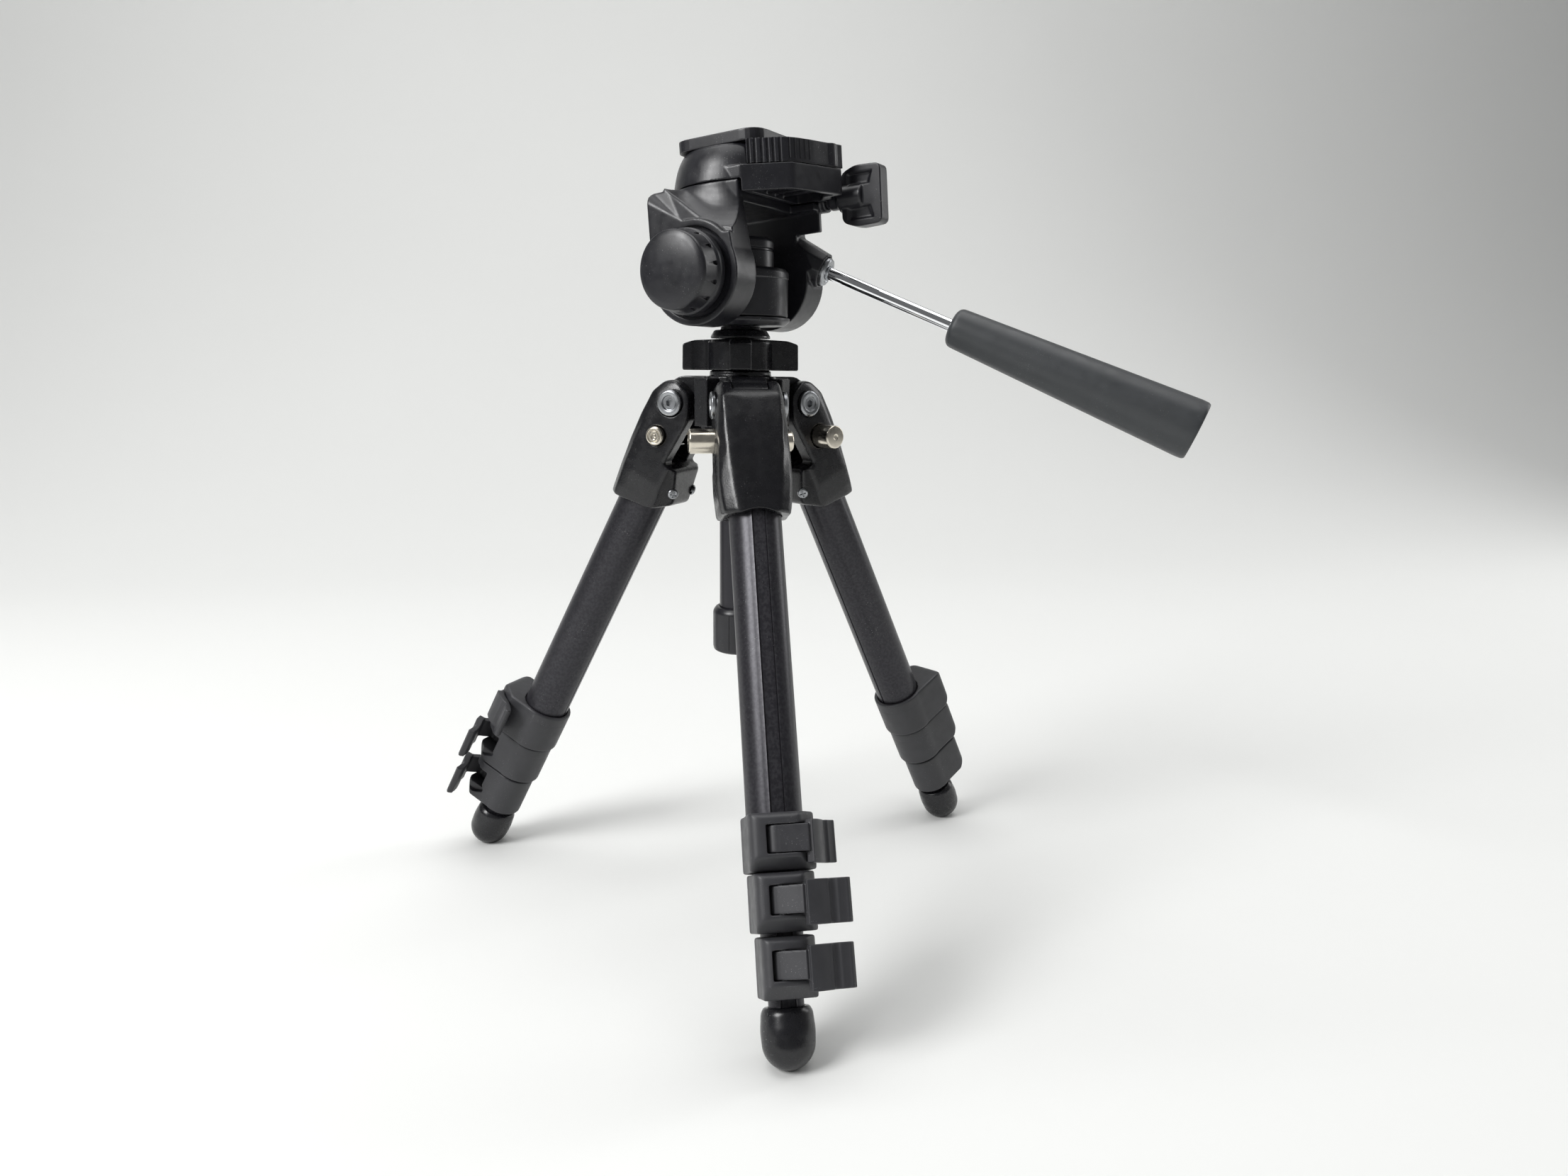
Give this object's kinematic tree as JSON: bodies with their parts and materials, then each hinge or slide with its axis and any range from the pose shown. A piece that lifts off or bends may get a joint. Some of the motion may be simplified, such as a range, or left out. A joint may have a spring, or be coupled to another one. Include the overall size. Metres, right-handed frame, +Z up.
{
  "type": "tripod with fluid head",
  "caption": "Compact table tripod with flip-lock telescoping legs, a rising centre column and a three-way pan head with a long handle and quick-release plate.",
  "frame": {"origin": "middle of the bounding box at floor level, with the feet standing on z = 0", "axes": "+Z up; the front leg points to -Y; the column stands at x = -0.0241, y = 0.0327 m"},
  "size_m": [0.3518, 0.2674, 0.3667],
  "materials": {
    "gloss_casting": "gloss",
    "anodised_tube": "satin black anodised",
    "grey_plastic": "fine matt texture",
    "black_plastic": "satin with a fine spark texture",
    "foot_rubber": "smooth",
    "grip_rubber": "smooth matt",
    "nickel": "polished",
    "zinc": "bright zinc plate",
    "chrome": "mirror"
  },
  "bodies": {
    "crown": {"crown": "gloss_casting", "column_collet": "black_plastic"},
    "column_lock_knob": {"column_lock_knob": "gloss_casting"},
    "centre_column": {"centre_column": "anodised_tube", "column_end_cap": "black_plastic", "column_flange": "black_plastic", "pan_base": "black_plastic"},
    "front_leg": {"front_leg_shoulder": "gloss_casting", "front_pivot_bolt": "zinc", "front_leg_tube_1": "anodised_tube", "front_collar_1": "grey_plastic"},
    "front_lock_pin": {"front_lock_pin": "nickel"},
    "front_flip_lever_1": {"front_flip_lever_1": "grey_plastic"},
    "front_section_2": {"front_leg_tube_2": "anodised_tube", "front_collar_2": "grey_plastic"},
    "front_flip_lever_2": {"front_flip_lever_2": "grey_plastic"},
    "front_section_3": {"front_leg_tube_3": "anodised_tube", "front_collar_3": "grey_plastic"},
    "front_flip_lever_3": {"front_flip_lever_3": "grey_plastic"},
    "front_section_4": {"front_leg_tube_4": "anodised_tube", "front_foot": "foot_rubber"},
    "left_leg": {"left_leg_shoulder": "gloss_casting", "left_pivot_bolt": "zinc", "left_leg_tube_1": "anodised_tube", "left_collar_1": "grey_plastic"},
    "left_lock_pin": {"left_lock_pin": "nickel"},
    "left_flip_lever_1": {"left_flip_lever_1": "grey_plastic"},
    "left_section_2": {"left_leg_tube_2": "anodised_tube", "left_collar_2": "grey_plastic"},
    "left_flip_lever_2": {"left_flip_lever_2": "grey_plastic"},
    "left_section_3": {"left_leg_tube_3": "anodised_tube", "left_collar_3": "grey_plastic"},
    "left_flip_lever_3": {"left_flip_lever_3": "grey_plastic"},
    "left_section_4": {"left_leg_tube_4": "anodised_tube", "left_foot": "foot_rubber"},
    "right_leg": {"right_leg_shoulder": "gloss_casting", "right_pivot_bolt": "zinc", "right_leg_tube_1": "anodised_tube", "right_collar_1": "grey_plastic"},
    "right_lock_pin": {"right_lock_pin": "nickel"},
    "right_flip_lever_1": {"right_flip_lever_1": "grey_plastic"},
    "right_section_2": {"right_leg_tube_2": "anodised_tube", "right_collar_2": "grey_plastic"},
    "right_flip_lever_2": {"right_flip_lever_2": "grey_plastic"},
    "right_section_3": {"right_leg_tube_3": "anodised_tube", "right_collar_3": "grey_plastic"},
    "right_flip_lever_3": {"right_flip_lever_3": "grey_plastic"},
    "right_section_4": {"right_leg_tube_4": "anodised_tube", "right_foot": "foot_rubber"},
    "pan_body": {"pan_body": "black_plastic"},
    "tilt_yoke": {"tilt_yoke": "black_plastic", "handle_bushing": "zinc"},
    "tilt_knob": {"tilt_knob": "black_plastic"},
    "pan_handle": {"handle_rod": "chrome", "handle_grip": "grip_rubber"},
    "camera_platform": {"camera_platform": "black_plastic"},
    "side_tilt_knob": {"side_tilt_knob": "black_plastic"},
    "release_lever": {"release_lever": "black_plastic"},
    "quick_release_plate": {"quick_release_plate": "black_plastic"},
    "camera_screw": {"camera_screw": "zinc"}
  },
  "joints": [
    {"name": "column_lock_turn", "type": "hinge", "parent": "crown", "child": "column_lock_knob", "pos_m": [-0.02408, 0.03273, 0.267], "axis": [0, 0, 1], "range_deg": [0, 150]},
    {"name": "column_rise", "type": "slide", "parent": "crown", "child": "centre_column", "axis": [0, 0, 1], "range_m": [0, 0.084]},
    {"name": "pan", "type": "hinge", "parent": "centre_column", "child": "pan_body", "pos_m": [-0.02408, 0.03273, 0.29], "axis": [0, 0, 1], "continuous": true},
    {"name": "tilt", "type": "hinge", "parent": "pan_body", "child": "tilt_yoke", "pos_m": [-0.02408, 0.03273, 0.302], "axis": [0.6252, 0.7804, 0], "range_deg": [-75, 35]},
    {"name": "tilt_knob_turn", "type": "hinge", "parent": "tilt_yoke", "child": "tilt_knob", "pos_m": [-0.05534, -0.00629, 0.302], "axis": [0.6252, 0.7804, 0], "range_deg": [0, 180]},
    {"name": "handle_twist", "type": "hinge", "parent": "tilt_yoke", "child": "pan_handle", "pos_m": [0.04211, 0.02797, 0.2957], "axis": [0.8114, -0.4436, -0.3806], "range_deg": [0, 180]},
    {"name": "side_tilt", "type": "hinge", "parent": "tilt_yoke", "child": "camera_platform", "pos_m": [-0.00053, 0.04975, 0.3362], "axis": [-0.778, 0.6233, -0.0785], "range_deg": [0, 90]},
    {"name": "side_tilt_knob_turn", "type": "hinge", "parent": "camera_platform", "child": "side_tilt_knob", "pos_m": [0.03059, 0.02482, 0.33933], "axis": [0.778, -0.6233, 0.0785], "range_deg": [0, 180]},
    {"name": "release_lever_turn", "type": "hinge", "parent": "camera_platform", "child": "release_lever", "pos_m": [0.01252, 0.01814, 0.35711], "axis": [-0.0612, 0.0491, 0.9969], "range_deg": [0, 32], "stiffness_Nm_per_rad": 0.06, "springref_deg": -14.32},
    {"name": "plate_lift", "type": "slide", "parent": "camera_platform", "child": "quick_release_plate", "axis": [-0.0612, 0.0491, 0.9969], "range_m": [0, 0.02]},
    {"name": "camera_screw_turn", "type": "hinge", "parent": "quick_release_plate", "child": "camera_screw", "pos_m": [-0.02293, 0.03565, 0.35708], "axis": [-0.0612, 0.0491, 0.9969], "continuous": true},
    {"name": "front_leg_fold", "type": "hinge", "parent": "crown", "child": "front_leg", "pos_m": [-0.02408, 0.00353, 0.24539], "axis": [1, 0, 0], "range_deg": [0, 21]},
    {"name": "front_lock_pin_press", "type": "slide", "parent": "front_leg", "child": "front_lock_pin", "axis": [1, 0, 0], "range_m": [0, 0.006], "stiffness_N_per_m": 400, "springref_m": -0.002},
    {"name": "front_flip_lever_1_turn", "type": "hinge", "parent": "front_leg", "child": "front_flip_lever_1", "pos_m": [-0.02668, -0.10094, 0.08455], "axis": [0, -0.4664, -0.8846], "range_deg": [0, 85]},
    {"name": "front_section_2_slide", "type": "slide", "parent": "front_leg", "child": "front_section_2", "axis": [0, -0.4664, -0.8846], "range_m": [0, 0.135]},
    {"name": "front_flip_lever_2_turn", "type": "hinge", "parent": "front_section_2", "child": "front_flip_lever_2", "pos_m": [-0.02668, -0.11055, 0.06418], "axis": [0, -0.4664, -0.8846], "range_deg": [-33, 52]},
    {"name": "front_section_3_slide", "type": "slide", "parent": "front_section_2", "child": "front_section_3", "axis": [0, -0.4664, -0.8846], "range_m": [0, 0.15]},
    {"name": "front_flip_lever_3_turn", "type": "hinge", "parent": "front_section_3", "child": "front_flip_lever_3", "pos_m": [-0.02668, -0.1193, 0.04223], "axis": [0, -0.4664, -0.8846], "range_deg": [-33, 52]},
    {"name": "front_section_4_slide", "type": "slide", "parent": "front_section_3", "child": "front_section_4", "axis": [0, -0.4664, -0.8846], "range_m": [0, 0.165]},
    {"name": "left_leg_fold", "type": "hinge", "parent": "crown", "child": "left_leg", "pos_m": [-0.04936, 0.04733, 0.24539], "axis": [-0.5, -0.866, 0], "range_deg": [0, 21]},
    {"name": "left_lock_pin_press", "type": "slide", "parent": "left_leg", "child": "left_lock_pin", "axis": [-0.5, -0.866, 0], "range_m": [0, 0.006], "stiffness_N_per_m": 400, "springref_m": -0.002},
    {"name": "left_flip_lever_1_turn", "type": "hinge", "parent": "left_leg", "child": "left_flip_lever_1", "pos_m": [-0.13854, 0.10182, 0.08455], "axis": [-0.4039, 0.2332, -0.8846], "range_deg": [0, 85]},
    {"name": "left_section_2_slide", "type": "slide", "parent": "left_leg", "child": "left_section_2", "axis": [-0.4039, 0.2332, -0.8846], "range_m": [0, 0.135]},
    {"name": "left_flip_lever_2_turn", "type": "hinge", "parent": "left_section_2", "child": "left_flip_lever_2", "pos_m": [-0.14686, 0.10662, 0.06418], "axis": [-0.4039, 0.2332, -0.8846], "range_deg": [-33, 52]},
    {"name": "left_section_3_slide", "type": "slide", "parent": "left_section_2", "child": "left_section_3", "axis": [-0.4039, 0.2332, -0.8846], "range_m": [0, 0.15]},
    {"name": "left_flip_lever_3_turn", "type": "hinge", "parent": "left_section_3", "child": "left_flip_lever_3", "pos_m": [-0.15444, 0.111, 0.04223], "axis": [-0.4039, 0.2332, -0.8846], "range_deg": [-33, 52]},
    {"name": "left_section_4_slide", "type": "slide", "parent": "left_section_3", "child": "left_section_4", "axis": [-0.4039, 0.2332, -0.8846], "range_m": [0, 0.165]},
    {"name": "right_leg_fold", "type": "hinge", "parent": "crown", "child": "right_leg", "pos_m": [0.00121, 0.04733, 0.24539], "axis": [-0.5, 0.866, 0], "range_deg": [0, 21]},
    {"name": "right_lock_pin_press", "type": "slide", "parent": "right_leg", "child": "right_lock_pin", "axis": [-0.5, 0.866, 0], "range_m": [0, 0.006], "stiffness_N_per_m": 400, "springref_m": -0.002},
    {"name": "right_flip_lever_1_turn", "type": "hinge", "parent": "right_leg", "child": "right_flip_lever_1", "pos_m": [0.09299, 0.09731, 0.08455], "axis": [0.4039, 0.2332, -0.8846], "range_deg": [0, 85]},
    {"name": "right_section_2_slide", "type": "slide", "parent": "right_leg", "child": "right_section_2", "axis": [0.4039, 0.2332, -0.8846], "range_m": [0, 0.135]},
    {"name": "right_flip_lever_2_turn", "type": "hinge", "parent": "right_section_2", "child": "right_flip_lever_2", "pos_m": [0.10131, 0.10212, 0.06418], "axis": [0.4039, 0.2332, -0.8846], "range_deg": [-33, 52]},
    {"name": "right_section_3_slide", "type": "slide", "parent": "right_section_2", "child": "right_section_3", "axis": [0.4039, 0.2332, -0.8846], "range_m": [0, 0.15]},
    {"name": "right_flip_lever_3_turn", "type": "hinge", "parent": "right_section_3", "child": "right_flip_lever_3", "pos_m": [0.10888, 0.10649, 0.04223], "axis": [0.4039, 0.2332, -0.8846], "range_deg": [-33, 52]},
    {"name": "right_section_4_slide", "type": "slide", "parent": "right_section_3", "child": "right_section_4", "axis": [0.4039, 0.2332, -0.8846], "range_m": [0, 0.165]}
  ]
}
